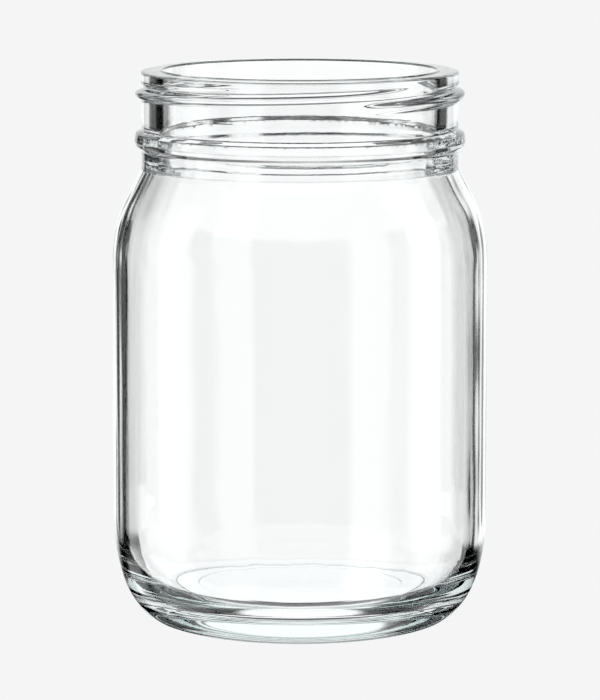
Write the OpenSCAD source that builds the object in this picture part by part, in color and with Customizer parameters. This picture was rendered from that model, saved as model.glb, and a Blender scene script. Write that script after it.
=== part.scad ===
// Home-canning jar in clear pressed-and-blown glass.
// The jar is one moulded piece: base, body, shoulder, neck, transfer bead,
// screw thread and sealing lip. The lid and the screw band are separate products.
// The origin is on the axis, in the plane of the bearing ring. +Z goes up through the mouth.

/* [Overall] */
// Height from the bearing ring to the sealing rim
jar_h = 117.5; // [112:0.5:125]
// Diameter of the straight body
body_d = 79.8; // [78:0.1:81]
// Glass thickness of the straight body
wall = 2.8; // [2.4:0.1:3.2]

/* [Base] */
// Inner radius of the flat bearing ring
ring_in_r = 28.0; // [27:0.1:28.4]
// Outer radius of the flat bearing ring
ring_out_r = 29.3; // [29:0.1:30]
// Height at which the heel meets the straight body
heel_h = 22.0; // [20:0.5:24]
// Depth of the step inside the bearing ring
step_h = 0.8; // [0.6:0.1:1.0]
// Height of the push-up at the centre of the underside
push_up = 1.5; // [1.2:0.1:2.0]
// Height of the inside floor at the centre
floor_h = 6.9; // [6.6:0.1:8]
// Height of the inside floor where its fillet begins
floor_edge_h = 5.9; // [5.6:0.1:6.4]

/* [Shoulder] */
// Height at which the shoulder arc begins
shoulder_z = 77.4; // [76:0.1:79]
// Radius of the shoulder arc
shoulder_r = 28.9; // [27:0.1:30]
// Angle of the shoulder's cone from the vertical
shoulder_angle = 27; // [25:0.5:29]

/* [Mouth] */
// Diameter of the bore through the neck
bore_d = 58.0; // [57.6:0.1:58.6]
// Outside diameter of the neck
neck_d = 67.2; // [67:0.1:67.4]
// Outside diameter of the lip
lip_d = 67.3; // [67.3:0.1:67.8]
// Outside diameter over the thread
thread_d = 69.7; // [69.4:0.1:70.0]
// Outside diameter over the transfer bead
bead_d = 70.3; // [69.9:0.1:70.7]

/* [Thread] */
// Rise of the thread over a full turn
thread_lead = 5.8; // [5:0.1:6]
// Depth of the thread's crest below the rim where a start begins
thread_drop = 6.2; // [6:0.1:6.4]
// Direction in which the first start begins, in degrees from +X
first_from = -70; // [-80:1:-60]
// Turn covered by the first start, in degrees
first_turn = 110; // [100:1:120]
// Direction in which the second start begins, in degrees from +X
second_from = 110; // [100:1:120]
// Turn covered by the second start, in degrees
second_turn = 210; // [180:1:215]

/* [Hidden] */
round_fn = 144;

body_r = body_d / 2;
bore_r = bore_d / 2;
neck_r = neck_d / 2;
lip_r = lip_d / 2;
inner_r = body_r - wall;

// Push-up and step of the underside
step_r = ring_in_r - 0.5;
dome_r = 22;

// Heel curve: how far its two handles reach along the tangents
heel_pull_out = 0.49;
heel_pull_down = 0.66;

// Cone of the shoulder, outside: it starts where the arc ends and stops at the neck
cone_r = body_r - shoulder_r * (1 - cos(shoulder_angle));
cone_z = shoulder_z + shoulder_r * sin(shoulder_angle);
neck_z = cone_z + (cone_r - neck_r) / tan(shoulder_angle);

// The inside of the shoulder follows the outside at about the body's thickness,
// and blends into the bore with an arc
in_shoulder_r = shoulder_r - wall;
in_cone_r = inner_r - in_shoulder_r * (1 - cos(shoulder_angle));
in_cone_z = shoulder_z + in_shoulder_r * sin(shoulder_angle);
throat_r = 11;
throat_cone_r = bore_r + throat_r * (1 - cos(shoulder_angle));
throat_cone_z = in_cone_z + (in_cone_r - throat_cone_r) / tan(shoulder_angle);
bore_z = throat_cone_z + throat_r * sin(shoulder_angle);

// Inside floor and its fillet up to the straight wall
fillet_in_r = 27;
fillet_h = 22;

// Transfer bead: a rounded ring around the foot of the neck. Heights of its foot, of its crest
// and of its top edge, and how much its two edges fall short of the crest
bead_low_z = jar_h - 16.9;
bead_z = jar_h - 15.1;
bead_high_z = jar_h - 12.65;
bead_r = bead_d / 2;
bead_ease = 0.3;

// Lip: rounded edges and a flat sealing rim
rim_in_round = 0.2;
rim_out_round = 0.7;

// Thread section and the way its ends fade into the neck
thread_half_h = 1.5;
thread_root = 1.7;
thread_fade = 30;
thread_step = 5;

// Points of an arc in the profile plane
function arc(r, z, radius, from, to, n = 12) =
    [for (i = [0:n]) let (a = from + (to - from) * i / n)
        [r + radius * cos(a), z + radius * sin(a)]];

// Points of a cubic curve with end points a and d and handles b and c
function curve(a, b, c, d, n = 20) =
    [for (i = [0:n]) let (t = i / n, s = 1 - t)
        s * s * s * a + 3 * s * s * t * b + 3 * s * t * t * c + t * t * t * d];

// Underside and heel, from the axis out to the straight body
function foot() = concat(
    curve([0, push_up], [dome_r * 0.5, push_up], [dome_r * 0.8, step_h + 0.1], [dome_r, step_h]),
    [[step_r, step_h], [ring_in_r, 0], [ring_out_r, 0]],
    curve([ring_out_r + 0.02, 0.002],
        [ring_out_r + heel_pull_out * (body_r - ring_out_r), 0.05],
        [body_r, heel_h * (1 - heel_pull_down)],
        [body_r, heel_h], 28)
);

// Transfer bead, listed from the bottom upwards
function bead() = [
    [neck_r, bead_low_z],
    [neck_r + 0.35 * (bead_r - neck_r), bead_low_z + 0.35],
    [bead_r - bead_ease, bead_z - 0.85],
    [bead_r - 0.08, bead_z - 0.3],
    [bead_r, bead_z],
    [bead_r - 0.06, bead_z + 0.7],
    [bead_r - bead_ease, bead_high_z - 0.75],
    [bead_r - 2 * bead_ease, bead_high_z - 0.45],
    [neck_r, bead_high_z]
];

// Shoulder and neck, outside, from the straight body up to the lip
function outside_neck() = concat(
    arc(body_r - shoulder_r, shoulder_z, shoulder_r, 0, shoulder_angle),
    [[neck_r, neck_z]],
    bead()
);

// Lip and sealing rim, from the outside over to the bore
function lip() = concat(
    arc(lip_r - rim_out_round, jar_h - rim_out_round, rim_out_round, 0, 90, 8),
    arc(bore_r + rim_in_round, jar_h - rim_in_round, rim_in_round, 90, 180, 4)
);

// Inside, from the bore down to the floor
function inside() = concat(
    [[bore_r, bore_z]],
    arc(bore_r + throat_r, bore_z, throat_r, 180, 180 + shoulder_angle, 8),
    arc(inner_r - in_shoulder_r, shoulder_z, in_shoulder_r, shoulder_angle, 0, 12),
    curve([inner_r, fillet_h], [inner_r, fillet_h * 0.48],
        [inner_r - 3.6, floor_edge_h], [fillet_in_r, floor_edge_h], 20),
    curve([fillet_in_r * 0.98, floor_edge_h + 0.01], [fillet_in_r * 0.6, floor_edge_h + 0.3],
        [fillet_in_r * 0.4, floor_h], [0, floor_h], 8)
);

// Thread section at one angle: size is 1 along the thread, and below 0 the crest is inside the wall
function thread_ring(angle, mid_z, size) =
    let (root = neck_r - thread_root, top = neck_r + (thread_d / 2 - neck_r) * size,
         side = root + 0.8 * (top - root))
    [for (p = [[root, -1.15], [side, -0.6], [top, -0.15], [top, 0.15], [side, 0.6], [root, 1.15]])
        [p[0] * cos(angle), p[0] * sin(angle), mid_z + p[1] * thread_half_h]];

// Fade at both ends of a start: the crest dives into the wall
function fade(angle, run) =
    let (edge = min(angle, run - angle) / thread_fade)
    edge >= 1 ? 1 : -0.3 + 1.3 * sin(90 * edge);

// One start of the thread, swept along its helix
module thread_start(from, run) {
    steps = round(run / thread_step);
    rings = [for (i = [0:steps]) let (turn = run * i / steps)
        thread_ring(from + turn, jar_h - thread_drop + thread_lead * turn / 360, fade(turn, run))];
    sides = len(rings[0]);
    points = [for (ring = rings) for (p = ring) p];
    walls = [for (i = [0:steps - 1]) for (j = [0:sides - 1]) let (k = (j + 1) % sides)
        each [[i * sides + j, i * sides + k, (i + 1) * sides + j],
              [i * sides + k, (i + 1) * sides + k, (i + 1) * sides + j]]];
    first_end = [[for (j = [sides - 1:-1:0]) j]];
    last_end = [[for (j = [0:sides - 1]) steps * sides + j]];
    polyhedron(points = points, faces = concat(walls, first_end, last_end), convexity = 4);
}

// The whole glass jar
module glass_jar() {
    color([0.88, 0.94, 0.92, 0.35]) {
        rotate_extrude($fn = round_fn)
            polygon(concat(foot(), outside_neck(), lip(), inside()));
        thread_start(first_from, first_turn);
        thread_start(second_from, second_turn);
    }
}

glass_jar();
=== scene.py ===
"""A clear glass canning jar, standing open and empty in a plain bright-field studio.

The glass is one closed mesh: a profile turned about the jar's axis, with the screw thread, the mould's
grain on the bead and the slight unevenness of blown glass worked into its radius.
Lengths are millimetres in the jar's frame and angles are degrees from +X, unless a comment says otherwise.
"""

import math

import bpy
import numpy as np
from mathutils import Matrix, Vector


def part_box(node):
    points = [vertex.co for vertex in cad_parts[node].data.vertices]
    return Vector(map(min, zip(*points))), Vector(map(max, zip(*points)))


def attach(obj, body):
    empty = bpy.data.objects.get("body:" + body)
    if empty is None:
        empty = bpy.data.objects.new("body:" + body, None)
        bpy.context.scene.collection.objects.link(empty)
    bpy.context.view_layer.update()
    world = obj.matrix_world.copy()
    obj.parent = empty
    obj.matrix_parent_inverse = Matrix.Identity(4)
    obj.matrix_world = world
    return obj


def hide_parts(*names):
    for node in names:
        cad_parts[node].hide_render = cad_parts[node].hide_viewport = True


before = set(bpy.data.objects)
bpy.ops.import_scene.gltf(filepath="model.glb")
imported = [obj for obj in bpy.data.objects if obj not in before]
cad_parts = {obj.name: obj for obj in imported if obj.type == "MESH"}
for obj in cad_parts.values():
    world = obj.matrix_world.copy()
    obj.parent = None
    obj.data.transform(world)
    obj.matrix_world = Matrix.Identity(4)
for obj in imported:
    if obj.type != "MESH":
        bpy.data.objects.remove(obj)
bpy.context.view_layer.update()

MM = 0.001

# Overall sizes come from the CAD node
low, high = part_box("glass_jar")
JAR_H = (high[2] - low[2]) / MM
BODY_R = (high[0] - low[0]) / 2 / MM

# Base: bearing ring, heel, the step and the push-up inside the ring, and the floor inside the jar
RING_IN_R = 28.0
RING_OUT_R = 29.3
HEEL_H = 22.0
HEEL_PULL_OUT = 0.49
HEEL_PULL_DOWN = 0.66
STEP_H = 0.8
STEP_W = 0.35
PUSH_UP = 1.5
PUSH_UP_R = 22.0
PUSH_UP_RIDGE = 0.12
FLOOR_H = 6.9
FLOOR_EDGE_H = 5.9
FLOOR_EDGE_R = 27.0
FILLET_TOP = 22.0
CREASE = 0.35

# Wall and shoulder
WALL = 2.8
SHOULDER_Z = 77.4
SHOULDER_R = 28.9
SHOULDER_ANGLE = 27

# Mouth: bore, neck, lip, the raised inner part of the rim and the transfer bead
BORE_R = 29.0
THROAT_R = 11.0
NECK_R = 33.6
LIP_R = 33.65
CROWN_R = 29.6
LAND_DROP = 0.2
BEAD_R = 35.15
BEAD_EDGE_R = 34.85
BEAD_DROP = 15.3

# Thread: height over the neck, reach up and down, lead, start below the rim, and the section's shape
THREAD_DEPTH = 1.25
THREAD_UP = 1.05
THREAD_DOWN = 1.15
THREAD_LEAD = 5.8
THREAD_DROP = 6.25
THREAD_SHARPNESS = 2.7
THREAD_ROOT = 0.28
THREAD_FADE_IN = 26
THREAD_FADE_OUT = 40
# Where each start begins and how far it runs
THREADS = [(-70, 110), (110, 210)]

# Shallow groove over a thread that hasn't yet climbed to the lip
NOTCH_DEPTH = 0.5
NOTCH_RISE = 1.55
NOTCH_HALF = 0.75

# Fine roughness that the mould leaves on the upper side of the bead, and its limit
GRAIN = 0.006
GRAIN_LIMIT = 0.03

# How much thicker the wall is on its +X side than on its -X side
THICKER_SIDE = 0.35
# Depths of the ripples: slow, quick and upright ones on the inner wall, then the shoulder inside and
# outside, the upright ribs of the outside, and the heel
SLOW_WAVE = 0.07
QUICK_WAVE = 0.03
CORD_WAVE = 0.05
SHOULDER_WAVE_IN = 0.05
SHOULDER_WAVE_OUT = 0.03
RIB_WAVE = 0.012
HEEL_WAVE = 0.03
# How far the outside is kept within the mould, so that no ripple stands proud of it
OUTSIDE_IN = 0.02

# Points around the jar
COLUMNS = 640

# Glass: absorption colour and density per metre, then its surface, with noise scales per metre
GLASS_IOR = 1.52
GLASS_COLOUR = (0.835, 0.92, 0.92)
GLASS_DENSITY = 9.0
CLOUD_SCALE = 60
CLOUD_ROUGHNESS = 0.012
STIPPLE_H = 0.25
STIPPLE_SCALE = 1500
STIPPLE_ROUGHNESS = 0.35
PEEL_SCALE = 420
PEEL_STRENGTH = 0.15
PEEL_DEPTH = 0.02

# Studio: the background that the camera sees, and the light of the cards, the table and the rest
BACKGROUND = (0.913, 0.913, 0.921)
LIGHT_TINT = (0.985, 1.0, 1.0)
WHITE = 1.075
FILL = 0.04

# The white table fills everything below this rise
TABLE_RISE = -51
# White cards: middle and half width by compass, lowest and highest rise, soft edge of the ends and of
# the sides, all in degrees
CARDS = [
    (86, 28, -14, 60, 6, 7),
    (174, 20, -60, 35, 8, 8),
    (4, 16, -30, 35, 8, 8),
    (315, 14, -60, 35, 8, 8),
    (136, 9, -44, -17, 6, 6),
    (0, 181, 47, 100, 6, 6),
    (270, 90, 26, 100, 6, 6),
]
# Black and grey flags: the same six, and how much of the light they take
FLAGS = [
    (136, 17, -16, 46, 5, 5, 1.0),
    (44, 12, -40, 46, 5, 5, 1.0),
    (90, 60, 29, 46, 4, 4, 0.85),
    (90, 34, -42, -15, 4, 4, 1.0),
    (35, 21, -42, -15, 4, 4, 1.0),
]

# Lit table close under the jar: a rounded foot in front, spreading towards the back
LIGHT_TABLE_FOOT_R = 36
LIGHT_TABLE_SQUASH = 0.52
LIGHT_TABLE_BACK = 134
LIGHT_TABLE_SPREAD = 0.25
LIGHT_TABLE_DROP = 0.3

# Plain floor under everything
FLOOR_SIZE = 6000
FLOOR_DROP = 0.5

# Camera: distance and height in metres, downward pitch in degrees, lens in millimetres on a 36 mm sensor
CAMERA_DISTANCE = 0.850
CAMERA_HEIGHT = 0.1828
CAMERA_PITCH = 8.39
CAMERA_LENS = 207.0


def polar(radius, degrees):
    angle = math.radians(degrees)
    return np.array([radius * math.cos(angle), radius * math.sin(angle)])


def arc(r, z, radius, start, end, n=12):
    """Points of an arc in the profile plane, angles in degrees from the radial direction."""
    return [np.array([r, z]) + polar(radius, a) for a in np.linspace(start, end, n + 1)]


def curve(a, b, c, d, n=20):
    """Points of a cubic curve with ends a and d and handles b and c."""
    a, b, c, d = (np.array(p, float) for p in (a, b, c, d))
    t = np.linspace(0, 1, n + 1)[:, None]
    s = 1 - t
    return list(s**3 * a + 3 * s * s * t * b + 3 * s * t * t * c + t**3 * d)


def corners(points, n=6):
    """A run of (r, z, radius) corners, each rounded to its radius."""
    out = []
    for i, (r, z, radius) in enumerate(points):
        here = np.array([r, z], float)
        if i in (0, len(points) - 1) or radius == 0:
            out.append(here)
            continue
        before = np.array(points[i - 1][:2], float) - here
        after = np.array(points[i + 1][:2], float) - here
        length_before, length_after = np.linalg.norm(before), np.linalg.norm(after)
        before, after = before / length_before, after / length_after
        half = math.acos(float(np.clip(before @ after, -1, 1))) / 2
        reach = min(radius / math.tan(half), 0.48 * length_before, 0.48 * length_after)
        p, q = here + before * reach, here + after * reach
        t = np.linspace(0, 1, n + 1)[:, None]
        out += list((1 - t) ** 2 * p + 2 * t * (1 - t) * here + t * t * q)
    return out


def outside():
    """Profile from the middle of the underside, round the heel and up to the sealing rim."""
    ceiling = STEP_H + 0.05
    ridge = ceiling + PUSH_UP_RIDGE
    dome = [(0, PUSH_UP), (PUSH_UP_R * 0.5, PUSH_UP), (PUSH_UP_R * 0.8, ridge + 0.03), (PUSH_UP_R, ridge)]
    points = curve(*dome, 24)
    ring = [
        (*points[-1], 0),
        (PUSH_UP_R + 0.3, ceiling, 0.15),
        (RING_IN_R - STEP_W, STEP_H, 0.25),
        (RING_IN_R + 0.1, 0, 0.25),
        (RING_OUT_R, 0, 0),
    ]
    points += corners(ring, 8)[1:]
    heel_foot = (RING_OUT_R + HEEL_PULL_OUT * (BODY_R - RING_OUT_R), 0)
    heel_side = (BODY_R, HEEL_H * (1 - HEEL_PULL_DOWN))
    points += curve((RING_OUT_R, 0), heel_foot, heel_side, (BODY_R, HEEL_H), 60)[1:]
    points += arc(BODY_R - SHOULDER_R, SHOULDER_Z, SHOULDER_R, 0, SHOULDER_ANGLE, 20)
    cone_r = points[-1][0]
    neck_z = points[-1][1] + (cone_r - NECK_R) / math.tan(math.radians(SHOULDER_ANGLE))
    bead_z = JAR_H - BEAD_DROP
    neck = [
        (*points[-1], 0),
        (NECK_R, neck_z, 1.5),
        (NECK_R, bead_z - 1.6, 0.6),
        (BEAD_EDGE_R, bead_z - 0.7, 0.6),
        (BEAD_R, bead_z + 0.2, 1.2),
        (BEAD_EDGE_R, bead_z + 1.95, 0.55),
        (NECK_R, bead_z + 2.65, 0.55),
        (LIP_R, JAR_H - LAND_DROP - 0.05, 0.7),
        (CROWN_R + 0.2, JAR_H - LAND_DROP, 0.1),
        (CROWN_R, JAR_H, 0.1),
        (CROWN_R - 0.2, JAR_H, 0),
    ]
    points += corners(neck, 10)[1:]
    return points


def inside():
    """Profile from the sealing rim, down the bore and the wall to the middle of the floor."""
    inner_r = BODY_R - WALL
    shoulder_r = SHOULDER_R - WALL
    lean = math.radians(SHOULDER_ANGLE)
    cone_r = inner_r - shoulder_r * (1 - math.cos(lean))
    cone_z = SHOULDER_Z + shoulder_r * math.sin(lean)
    throat_cone_r = BORE_R + THROAT_R * (1 - math.cos(lean))
    throat_cone_z = cone_z + (cone_r - throat_cone_r) / math.tan(lean)
    bore_z = throat_cone_z + THROAT_R * math.sin(lean)
    points = corners([(CROWN_R - 0.2, JAR_H, 0), (BORE_R, JAR_H, 0.14), (BORE_R, JAR_H - 6, 0)], 10)
    points += arc(BORE_R + THROAT_R, bore_z, THROAT_R, 180, 180 + SHOULDER_ANGLE, 14)
    points += arc(inner_r - shoulder_r, SHOULDER_Z, shoulder_r, SHOULDER_ANGLE, 0, 20)
    floor_edge = (FLOOR_EDGE_R, FLOOR_EDGE_H)
    fillet_foot = (inner_r - 4.2, FLOOR_EDGE_H + CREASE)
    points += curve((inner_r, FILLET_TOP), (inner_r, FILLET_TOP - 11.4), fillet_foot, floor_edge, 50)
    floor_handle = (FLOOR_EDGE_R * 0.6, FLOOR_EDGE_H + 0.3)
    points += curve(floor_edge, floor_handle, (FLOOR_EDGE_R * 0.4, FLOOR_H), (0, FLOOR_H), 20)[1:]
    return points


def fill(points, spacing):
    """The same profile with no step longer than spacing(z) at its height."""
    out = [points[0]]
    for p in points[1:]:
        step = np.linalg.norm(p - out[-1])
        if step < 1e-4:
            continue
        n = max(1, math.ceil(step / spacing((p[1] + out[-1][1]) / 2)))
        start = out[-1]
        out += [start + (p - start) * (i + 1) / n for i in range(n)]
    return np.array(out)


def row_spacing(z):
    """Largest step along the profile: finest at the rim, fine at the thread and the bead's top."""
    if z > JAR_H - 0.4:
        return 0.05
    if z > JAR_H - 8.5 or JAR_H - 14 < z < JAR_H - 12:
        return 0.12
    return 0.8 if z < HEEL_H or z > JAR_H - 20 else 1.6


def smooth(x):
    """0 below 0, 1 above 1, with an even ease between."""
    x = np.clip(x, 0, 1)
    return x * x * (3 - 2 * x)


def helix(angle, begins, run):
    """Height of a start's crest line at each angle, and its fade from 0 to 1 at both ends."""
    turn = (angle - begins) % 360
    mid = JAR_H - THREAD_DROP + THREAD_LEAD * turn / 360
    return mid, smooth(np.minimum(turn / THREAD_FADE_IN, (run - turn) / THREAD_FADE_OUT))


def thread(z, angle, begins, run):
    """How much of the thread's crest, from 0 to 1, stands at each height and angle for one start."""
    mid, size = helix(angle, begins, run)
    u = np.clip(np.where(z > mid, (z - mid) / THREAD_UP, (mid - z) / THREAD_DOWN), 0, 2)
    swell = 1 - u**THREAD_SHARPNESS
    return size * (swell + np.sqrt(swell * swell + THREAD_ROOT * THREAD_ROOT)) / 2


def notch(z, angle, begins, run):
    """The shallow groove, from 0 to 1, over a thread that hasn't yet climbed to the lip."""
    mid, size = helix(angle, begins, run)
    mid = mid + NOTCH_RISE
    size = size * smooth((JAR_H - 2.3 - mid) / 0.8)
    u = np.clip(np.abs(z - mid) / NOTCH_HALF, 0, 1)
    return size * (1 - u * u) ** 2


def waves(z, angle, modes, turn_range, rise_range, seed):
    """Smooth unevenness between -1 and 1, mostly within 0.5, from a few ripples of random direction."""
    rng = np.random.default_rng(seed)
    total = np.zeros_like(z)
    for _ in range(modes):
        around = rng.integers(*turn_range) * rng.choice([-1, 1])
        up = rng.uniform(*rise_range)
        total += np.sin(np.radians(angle) * around + 2 * math.pi * (z * up + rng.random()))
    return total / modes


def unevenness(z, angle, is_outer):
    """How far blown glass departs from its mould: the inside more than the outside."""
    wall = smooth((z - 12) / 14) * smooth((JAR_H - 10 - z) / 10)
    shoulder = smooth((z - SHOULDER_Z + 6) / 14) * smooth((JAR_H - 23 - z) / 6)
    heel = smooth((z - 1.5) / 4) * smooth((24 - z) / 8)
    between_ends = smooth((z - 1.0) / 3) * smooth((JAR_H - 9 - z) / 3)
    on_bead = smooth((z - JAR_H + 13.9) / 0.3) * smooth((JAR_H - 12.2 - z) / 0.4)

    slow = waves(z, angle, 9, (2, 9), (0.002, 0.02), 11)
    quick = waves(z, angle, 14, (8, 30), (0.004, 0.04), 12)
    inner = wall * (SLOW_WAVE * slow + QUICK_WAVE * quick)
    inner += shoulder * SHOULDER_WAVE_IN * waves(z, angle, 12, (12, 40), (0.02, 0.12), 13)
    inner += wall * CORD_WAVE * waves(z, angle, 14, (22, 64), (0.0, 0.003), 18)
    inner -= wall * THICKER_SIDE * (1 + np.cos(np.radians(angle))) / 2

    outer = -OUTSIDE_IN - RIB_WAVE * np.abs(waves(z, angle, 16, (60, 120), (0.0, 0.012), 14))
    outer += heel * HEEL_WAVE * (waves(z, angle, 12, (10, 44), (0.02, 0.12), 15) - 0.6)
    outer += shoulder * SHOULDER_WAVE_OUT * (waves(z, angle, 14, (16, 60), (0.02, 0.1), 16) - 0.6)
    grain = GRAIN * on_bead * np.random.default_rng(17).normal(size=z.shape)
    return np.where(is_outer, outer * between_ends + np.clip(grain, -GRAIN_LIMIT, GRAIN_LIMIT), inner)


def glass_radii(profile, is_outer, angle):
    """Radius and height of every point: a row for each point of the profile, a column for each angle."""
    r = np.repeat(profile[:, :1], len(angle), 1)
    z = np.repeat(profile[:, 1:], len(angle), 1)
    a = np.repeat(angle[None, :], len(profile), 0)
    crest = np.zeros_like(r)
    cut = np.zeros_like(r)
    for begins, run in THREADS:
        crest = np.maximum(crest, thread(z, a, begins, run))
        cut = np.maximum(cut, notch(z, a, begins, run))
    neck = is_outer[:, None] & (z > JAR_H - 9)
    r = np.where(neck, r - NOTCH_DEPTH * cut * (z < JAR_H - 1.5), r)
    r = np.where(neck, r + np.maximum(NECK_R + THREAD_DEPTH - r, 0) * crest, r)
    return r + unevenness(z, a, is_outer[:, None]), z


def build_glass():
    """The jar as one closed mesh: rings joined by quads, and a fan to the axis at each end."""
    outer = fill(outside(), row_spacing)
    inner = fill(inside(), row_spacing)
    profile = np.vstack([outer, inner[1:]])
    is_outer = np.arange(len(profile)) < len(outer)
    under_z, floor_z = profile[0][1], profile[-1][1]
    angle = np.arange(COLUMNS) * 360 / COLUMNS
    r, z = glass_radii(profile[1:-1], is_outer[1:-1], angle)

    x, y = r * np.cos(np.radians(angle)), r * np.sin(np.radians(angle))
    points = np.stack([x, y, z], -1).reshape(-1, 3)
    points = np.vstack([points, [[0, 0, under_z], [0, 0, floor_z]]]) * MM
    index = np.arange(r.size).reshape(r.shape)
    across = np.roll(index, -1, 1)
    quads = np.stack([index[:-1], across[:-1], across[1:], index[1:]], -1).reshape(-1, 4)
    under_pole, floor_pole = r.size, r.size + 1
    under_fan = np.stack([np.full(COLUMNS, under_pole), across[0], index[0]], -1)
    floor_fan = np.stack([np.full(COLUMNS, floor_pole), index[-1], across[-1]], -1)

    mesh = bpy.data.meshes.new("glass_jar_visual")
    faces = [tuple(face) for fan in (quads, under_fan, floor_fan) for face in fan]
    mesh.from_pydata([tuple(p) for p in points], [], faces)
    mesh.polygons.foreach_set("use_smooth", [True] * len(mesh.polygons))
    mesh.update()
    jar = bpy.data.objects.new("glass_jar_visual", mesh)
    bpy.context.scene.collection.objects.link(jar)
    return jar


def glass_material():
    """Clear glass: polished but for faint cloudiness, a stippled bearing ring and a slight orange peel."""
    material = bpy.data.materials.new("clear_glass")
    material.use_nodes = True
    nodes, links = material.node_tree.nodes, material.node_tree.links
    shader = nodes["Principled BSDF"]
    shader.inputs["Base Color"].default_value = (1, 1, 1, 1)
    shader.inputs["IOR"].default_value = GLASS_IOR
    shader.inputs["Transmission Weight"].default_value = 1.0

    place = nodes.new("ShaderNodeTexCoord").outputs["Object"]

    def noise(scale, detail):
        node = nodes.new("ShaderNodeTexNoise")
        links.new(place, node.inputs["Vector"])
        node.inputs["Scale"].default_value = scale
        node.inputs["Detail"].default_value = detail
        return node.outputs["Fac"]

    def ramp(value, start, end, first, last):
        """A value carried from the range start..end to the range first..last, and held outside it."""
        node = nodes.new("ShaderNodeMapRange")
        links.new(value, node.inputs["Value"])
        for name, number in zip(("From Min", "From Max", "To Min", "To Max"), (start, end, first, last)):
            node.inputs[name].default_value = number
        return node.outputs[0]

    def combine(kind, a, b):
        node = nodes.new("ShaderNodeMath")
        node.operation = kind
        links.new(a, node.inputs[0])
        links.new(b, node.inputs[1])
        return node.outputs[0]

    split = nodes.new("ShaderNodeSeparateXYZ")
    links.new(place, split.inputs[0])
    near_table = ramp(split.outputs["Z"], 0.0, STIPPLE_H * MM, 1.0, 0.0)
    cloud = ramp(noise(CLOUD_SCALE, 3.0), 0.45, 0.75, 0.0, CLOUD_ROUGHNESS)
    dots = ramp(noise(STIPPLE_SCALE, 2.0), 0.4, 0.6, 0.0, STIPPLE_ROUGHNESS)
    stipple = combine("MULTIPLY", near_table, dots)
    links.new(combine("ADD", cloud, stipple), shader.inputs["Roughness"])

    bump = nodes.new("ShaderNodeBump")
    bump.inputs["Strength"].default_value = PEEL_STRENGTH
    bump.inputs["Distance"].default_value = PEEL_DEPTH * MM
    links.new(noise(PEEL_SCALE, 2.0), bump.inputs["Height"])
    links.new(bump.outputs["Normal"], shader.inputs["Normal"])

    volume = nodes.new("ShaderNodeVolumeAbsorption")
    volume.inputs["Color"].default_value = (*GLASS_COLOUR, 1)
    volume.inputs["Density"].default_value = GLASS_DENSITY
    links.new(volume.outputs["Volume"], nodes["Material Output"].inputs["Volume"])
    return material


def studio_world():
    """A dark room with a white table, white cards and dark flags, behind a plain pale background."""
    world = bpy.data.worlds.new("studio")
    bpy.context.scene.world = world
    world.use_nodes = True
    tree = world.node_tree
    nodes, links = tree.nodes, tree.links
    nodes.clear()

    def math_node(kind, a, b=None, c=None):
        node = nodes.new("ShaderNodeMath")
        node.operation = kind
        for socket, value in zip(node.inputs, (a, b, c)):
            if value is None:
                continue
            if isinstance(value, (int, float)):
                socket.default_value = value
            else:
                links.new(value, socket)
        return node.outputs[0]

    coord = nodes.new("ShaderNodeTexCoord")
    split = nodes.new("ShaderNodeSeparateXYZ")
    links.new(coord.outputs["Generated"], split.inputs[0])
    to_degrees = 180 / math.pi
    compass = math_node("MULTIPLY", math_node("ARCTAN2", split.outputs["Y"], split.outputs["X"]), to_degrees)
    rise = math_node("MULTIPLY", math_node("ARCSINE", split.outputs["Z"]), to_degrees)

    def rise_to_one(value, at, edge):
        """0 below a value, 1 above it, with a soft edge."""
        node = nodes.new("ShaderNodeMapRange")
        node.interpolation_type = "SMOOTHSTEP"
        links.new(value, node.inputs["Value"])
        node.inputs["From Min"].default_value = at - edge / 2
        node.inputs["From Max"].default_value = at + edge / 2
        return node.outputs[0]

    def card(mid, half_width, low_rise, high_rise, edge, side_edge):
        """A card or flag: 1 where the direction is within its width and between its two heights."""
        turn = math_node("ABSOLUTE", math_node("WRAP", math_node("SUBTRACT", compass, mid), 180.0, -180.0))
        across = math_node("SUBTRACT", 1.0, rise_to_one(turn, half_width, side_edge))
        under = math_node("SUBTRACT", 1.0, rise_to_one(rise, high_rise, edge))
        return math_node("MULTIPLY", across, math_node("MULTIPLY", under, rise_to_one(rise, low_rise, edge)))

    white = math_node("SUBTRACT", 1.0, rise_to_one(rise, TABLE_RISE, 5.0))
    for shape in CARDS:
        white = math_node("MAXIMUM", white, card(*shape))
    level = math_node("ADD", FILL, math_node("MULTIPLY", white, WHITE - FILL))
    for *shape, depth in FLAGS:
        shade = math_node("MULTIPLY", card(*shape), depth)
        level = math_node("MULTIPLY", level, math_node("SUBTRACT", 1.0, shade))
    path = nodes.new("ShaderNodeLightPath")
    seen = nodes.new("ShaderNodeBackground")
    seen.inputs["Color"].default_value = (*BACKGROUND, 1)
    studio = nodes.new("ShaderNodeBackground")
    studio.inputs["Color"].default_value = (*LIGHT_TINT, 1)
    links.new(level, studio.inputs["Strength"])
    mix = nodes.new("ShaderNodeMixShader")
    links.new(path.outputs["Is Camera Ray"], mix.inputs[0])
    links.new(studio.outputs[0], mix.inputs[1])
    links.new(seen.outputs[0], mix.inputs[2])
    out = nodes.new("ShaderNodeOutputWorld")
    links.new(mix.outputs[0], out.inputs["Surface"])


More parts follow.
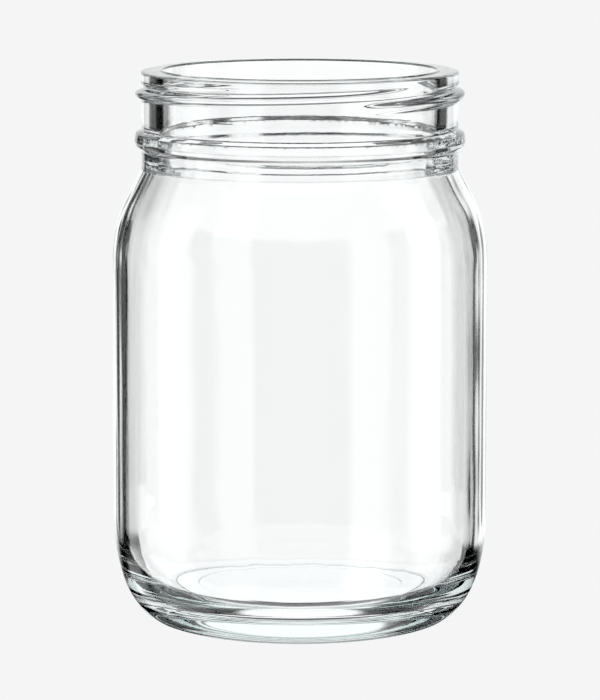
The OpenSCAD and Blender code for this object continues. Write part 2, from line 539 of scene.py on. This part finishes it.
def glowing_plane(name, outline, drop, colour, strength):
    """A flat glowing face a little below the jar's foot; its outline is in metres."""
    mesh = bpy.data.meshes.new(name)
    mesh.from_pydata(outline, [], [tuple(range(len(outline)))])
    plane = bpy.data.objects.new(name, mesh)
    bpy.context.scene.collection.objects.link(plane)
    plane.location.z = -drop * MM
    material = bpy.data.materials.new(name)
    material.use_nodes = True
    nodes, links = material.node_tree.nodes, material.node_tree.links
    nodes.clear()
    glow = nodes.new("ShaderNodeEmission")
    glow.inputs["Color"].default_value = (*colour, 1)
    glow.inputs["Strength"].default_value = strength
    out = nodes.new("ShaderNodeOutputMaterial")
    links.new(glow.outputs[0], out.inputs["Surface"])
    mesh.materials.append(material)
    return plane


def light_table():
    """The lit white table close round the jar, seen only through the glass."""
    foot = [polar(LIGHT_TABLE_FOOT_R * MM, a) * (1, LIGHT_TABLE_SQUASH) for a in range(180, 361, 5)]
    back_y = LIGHT_TABLE_BACK * MM
    back_x = (LIGHT_TABLE_FOOT_R + LIGHT_TABLE_BACK * LIGHT_TABLE_SPREAD) * MM
    outline = [(p[0], p[1], 0) for p in foot] + [(back_x, back_y, 0), (-back_x, back_y, 0)]
    plane = glowing_plane("light_table", outline, LIGHT_TABLE_DROP, LIGHT_TINT, WHITE)
    plane.visible_camera = False
    plane.visible_diffuse = False
    plane.visible_shadow = False


def pale_floor():
    """The plain floor that the camera sees and the glass doesn't."""
    size = FLOOR_SIZE * MM
    outline = [(-size, -size, 0), (size, -size, 0), (size, size, 0), (-size, size, 0)]
    plane = glowing_plane("studio_floor", outline, FLOOR_DROP, BACKGROUND, 1.0)
    plane.visible_transmission = False
    plane.visible_glossy = False
    plane.visible_diffuse = False
    plane.visible_shadow = False


def add_camera():
    camera = bpy.data.objects.new("camera", bpy.data.cameras.new("camera"))
    camera.data.lens = CAMERA_LENS
    camera.data.sensor_width = 36.0
    camera.data.clip_start = 0.05
    camera.data.clip_end = 50
    camera.location = (0.0, -CAMERA_DISTANCE, CAMERA_HEIGHT)
    camera.rotation_euler = (math.pi / 2 - math.radians(CAMERA_PITCH), 0, 0)
    bpy.context.scene.collection.objects.link(camera)
    bpy.context.scene.camera = camera


scene = bpy.context.scene
scene.view_settings.view_transform = "Standard"
scene.cycles.max_bounces = 32
scene.cycles.transmission_bounces = 32
scene.cycles.glossy_bounces = 16

jar = build_glass()
jar.data.materials.append(glass_material())
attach(jar, "root")
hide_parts("glass_jar")
studio_world()
light_table()
pale_floor()
add_camera()
